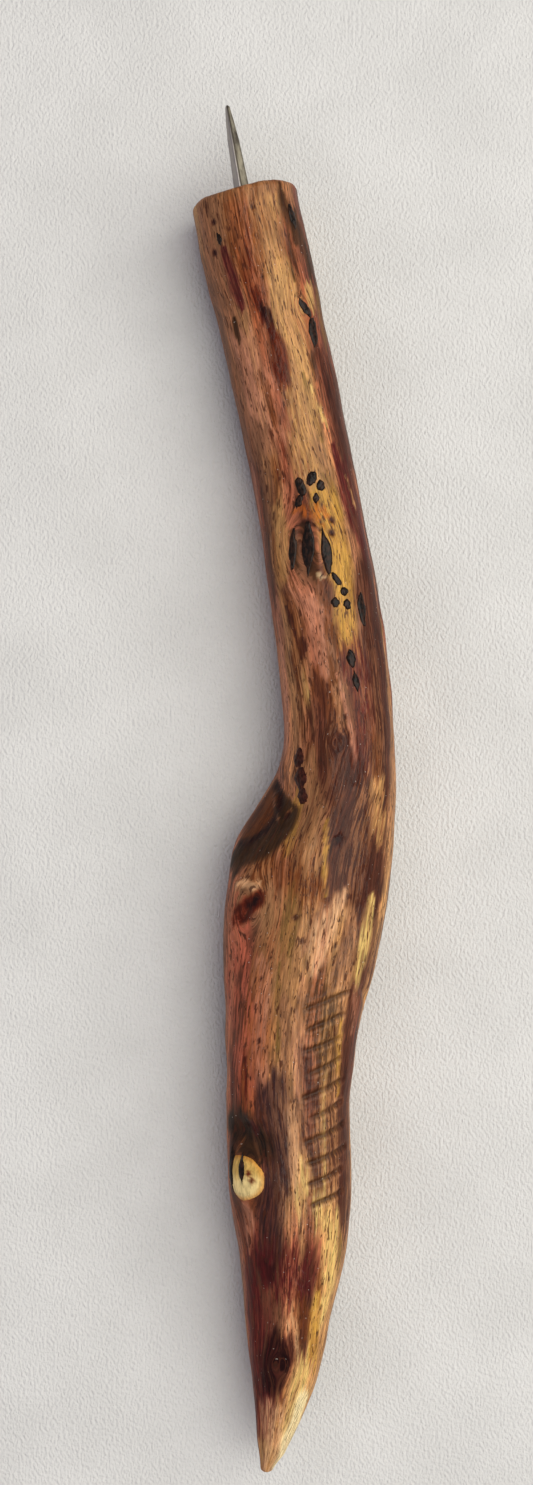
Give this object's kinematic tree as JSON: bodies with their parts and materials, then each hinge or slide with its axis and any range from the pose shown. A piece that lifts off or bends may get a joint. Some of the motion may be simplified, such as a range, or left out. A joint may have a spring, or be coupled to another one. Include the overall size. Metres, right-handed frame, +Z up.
{
  "type": "scratch awl",
  "caption": "Scratch awl with a short four-sided steel point set in a crooked, clear-coated branch handle that is whittled to a flat blunt tip.",
  "frame": {"origin": "on the table under the middle of the awl's bounding box, as it lies", "axes": "+Y along the awl towards the steel point, +X to the right, +Z up from the table"},
  "size_m": [0.0301, 0.2, 0.0185],
  "materials": {
    "branch_wood": "gloss clear coat",
    "point_steel": "worn, slightly darkened",
    "set_glue": "clear amber epoxy",
    "knot_wood": "gloss clear coat",
    "bark": "gloss clear coat"
  },
  "bodies": {
    "root": {"handle": "branch_wood", "awl_point": "point_steel", "adhesive_bed": "set_glue", "encased_knot": "knot_wood", "knot_bark_plugs": "bark", "bark_inserts_upper": "bark", "bark_inserts_middle": "bark", "bark_inserts_heel": "bark"}
  },
  "joints": []
}
